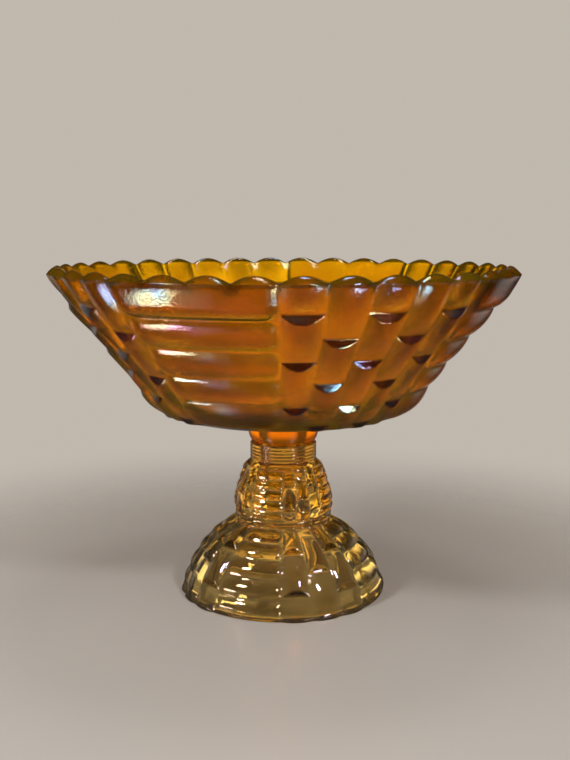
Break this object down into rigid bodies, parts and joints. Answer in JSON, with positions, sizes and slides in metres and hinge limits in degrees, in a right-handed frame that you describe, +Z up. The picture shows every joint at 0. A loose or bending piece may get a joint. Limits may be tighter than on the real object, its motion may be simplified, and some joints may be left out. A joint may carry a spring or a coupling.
{
  "type": "carnival glass bowl",
  "caption": "Pressed glass pedestal bowl: a flared, scalloped bowl with ribbed panels and stepped ribs, joined by a glass wafer to a ringed neck, ribbed knop and hollow domed foot.",
  "frame": {"origin": "centre of the foot's resting ring, on the surface that the bowl stands on", "axes": "+Z up along the bowl's axis; -Y is the front, where a level-ribbed panel meets an upright-ribbed zone; +X is to the right seen from the front"},
  "size_m": [0.2376, 0.2376, 0.1709],
  "materials": {
    "bowl_glass": "satin iridescent marigold over pressed glass",
    "wafer_glass": "glossy amber",
    "pedestal_glass": "glossy, pale straw with a light iridescence"
  },
  "bodies": {
    "root": {"bowl": "bowl_glass", "joining_wafer": "wafer_glass", "pedestal": "pedestal_glass"}
  },
  "joints": []
}
